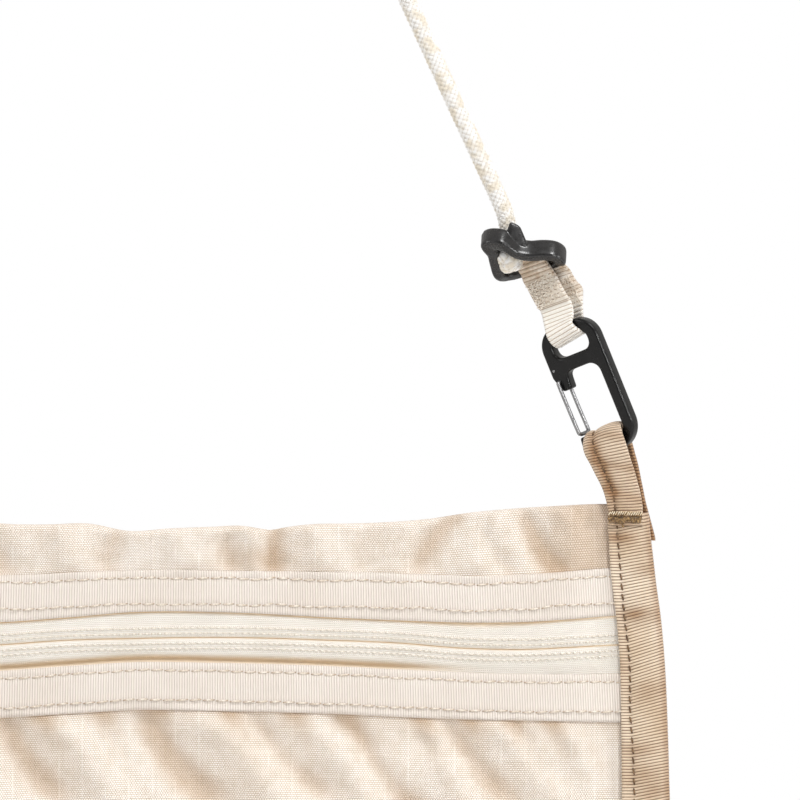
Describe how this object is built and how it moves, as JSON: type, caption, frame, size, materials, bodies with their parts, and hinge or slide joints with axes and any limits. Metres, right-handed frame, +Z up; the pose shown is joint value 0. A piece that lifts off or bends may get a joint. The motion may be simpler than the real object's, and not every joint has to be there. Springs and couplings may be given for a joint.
{
  "type": "neck pouch wallet",
  "caption": "Flat ripstop pouch with a front zip, hung on a neck cord through carabiners, webbing tabs and cord adjusters.",
  "frame": {"origin": "where the neck cord rests on the neck, at the inside of its highest bend", "axes": "+X to the pouch's right as seen from its front, +Y from front to back, +Z up; the pouch hangs upright"},
  "size_m": [0.254, 0.016, 0.404],
  "materials": {
    "ripstop": "light ripstop nylon with a slight sheen",
    "ivory_grosgrain": "ribbed grosgrain tape",
    "zip_tape": "fine woven polyester zip tape",
    "zip_coil": "nylon coil",
    "tan_grosgrain": "ribbed grosgrain tape",
    "tan_thread": "dense sewing thread",
    "cord_braid": "coarse braided polyester",
    "ivory_webbing": "ribbed nylon webbing",
    "ivory_thread": "dense sewing thread",
    "black_aluminium": "satin black anodised",
    "steel_wire": "polished steel wire",
    "moulded_plastic": "satin black moulded plastic",
    "slider_metal": "cream painted zinc"
  },
  "bodies": {
    "neck_line": {"neck_cord": "cord_braid", "left_cord_knot": "cord_braid", "right_cord_knot": "cord_braid", "left_adjuster": "moulded_plastic", "right_adjuster": "moulded_plastic"},
    "tabs": {"left_webbing_tab": "ivory_webbing", "right_webbing_tab": "ivory_webbing", "left_tab_bartack": "ivory_thread", "right_tab_bartack": "ivory_thread"},
    "carabiners": {"left_carabiner": "black_aluminium", "right_carabiner": "black_aluminium"},
    "right_gate": {"right_gate": "steel_wire"},
    "left_gate": {"left_gate": "steel_wire"},
    "pouch": {"ripstop_body": "ripstop", "upper_zip_facing": "ivory_grosgrain", "lower_zip_facing": "ivory_grosgrain", "upper_zip_tape": "zip_tape", "lower_zip_tape": "zip_tape", "upper_zip_coil": "zip_coil", "lower_zip_coil": "zip_coil", "left_binding": "tan_grosgrain", "right_binding": "tan_grosgrain", "left_bartack": "tan_thread", "right_bartack": "tan_thread"},
    "slider": {"zip_slider": "slider_metal"},
    "puller": {"zip_puller": "slider_metal"}
  },
  "joints": [
    {"name": "tabs_swing", "type": "hinge", "parent": "neck_line", "child": "tabs", "pos_m": [0, 0.003, -0.1627], "axis": [1, 0, 0], "range_deg": [-9, 9]},
    {"name": "carabiners_swing", "type": "hinge", "parent": "tabs", "child": "carabiners", "pos_m": [0, 0, -0.17859], "axis": [1, 0, 0], "range_deg": [-9, 9]},
    {"name": "pouch_swing", "type": "hinge", "parent": "carabiners", "child": "pouch", "pos_m": [0, 0, -0.20965], "axis": [1, 0, 0], "range_deg": [-9, 9]},
    {"name": "right_gate_turn", "type": "hinge", "parent": "carabiners", "child": "right_gate", "pos_m": [0.09707, 0.00376, -0.19285], "axis": [-0.4775, -0.8572, -0.1929], "range_deg": [0, 22], "stiffness_Nm_per_rad": 0.01, "springref_deg": -17.19},
    {"name": "left_gate_turn", "type": "hinge", "parent": "carabiners", "child": "left_gate", "pos_m": [-0.09707, 0.00376, -0.19285], "axis": [-0.4775, 0.8572, 0.1929], "range_deg": [0, 22], "stiffness_Nm_per_rad": 0.01, "springref_deg": -17.19},
    {"name": "zip_travel", "type": "slide", "parent": "pouch", "child": "slider", "axis": [1, 0, 0], "range_m": [0, 0.19]},
    {"name": "puller_turn", "type": "hinge", "parent": "slider", "child": "puller", "pos_m": [-0.095, -0.0051, -0.2626], "axis": [0, 0, -1], "range_deg": [0, 170]}
  ]
}
